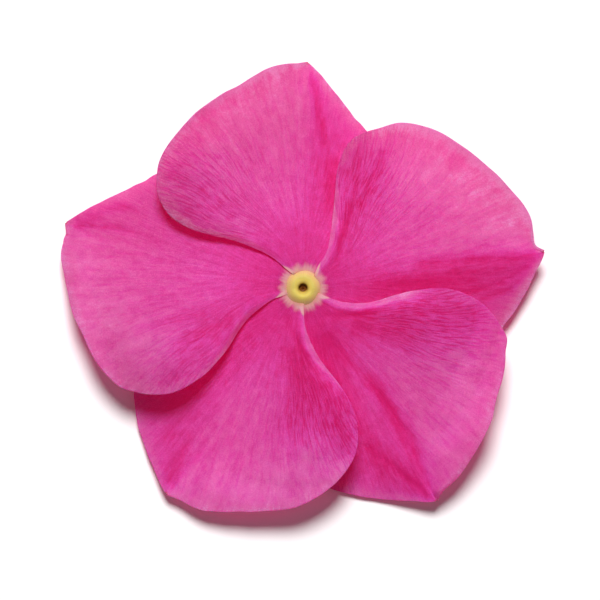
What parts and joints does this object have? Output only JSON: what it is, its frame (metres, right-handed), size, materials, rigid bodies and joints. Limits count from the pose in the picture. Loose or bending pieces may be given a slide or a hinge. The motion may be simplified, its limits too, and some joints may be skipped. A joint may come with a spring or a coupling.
{
  "type": "madagascar periwinkle flower",
  "caption": "Picked bloom lying face up: broad rounded petals overlap like a pinwheel round a raised ring with a narrow mouth, on a short cut length of tube that holds the stamens and style.",
  "frame": {"origin": "on the bloom's axis, at the level of the surface that it rests on", "axes": "+Z out of the bloom's face, +X across its widest spread, and +Y towards the top petal"},
  "size_m": [0.0483, 0.0448, 0.0067],
  "materials": {
    "petal": "satin petal, magenta pink, darker on the covered half of each petal and towards the mouth",
    "eye_ring": "satin, waxy yellow",
    "corolla_tube": "satin, pale greenish cream",
    "stamens": "matte, dull yellow",
    "style": "satin, pale green"
  },
  "bodies": {
    "root": {"petal_top": "petal", "petal_left": "petal", "petal_lower_left": "petal", "petal_lower_right": "petal", "petal_right": "petal", "eye_ring": "eye_ring", "corolla_tube": "corolla_tube", "stamens": "stamens", "style_and_stigma": "style"}
  },
  "joints": []
}
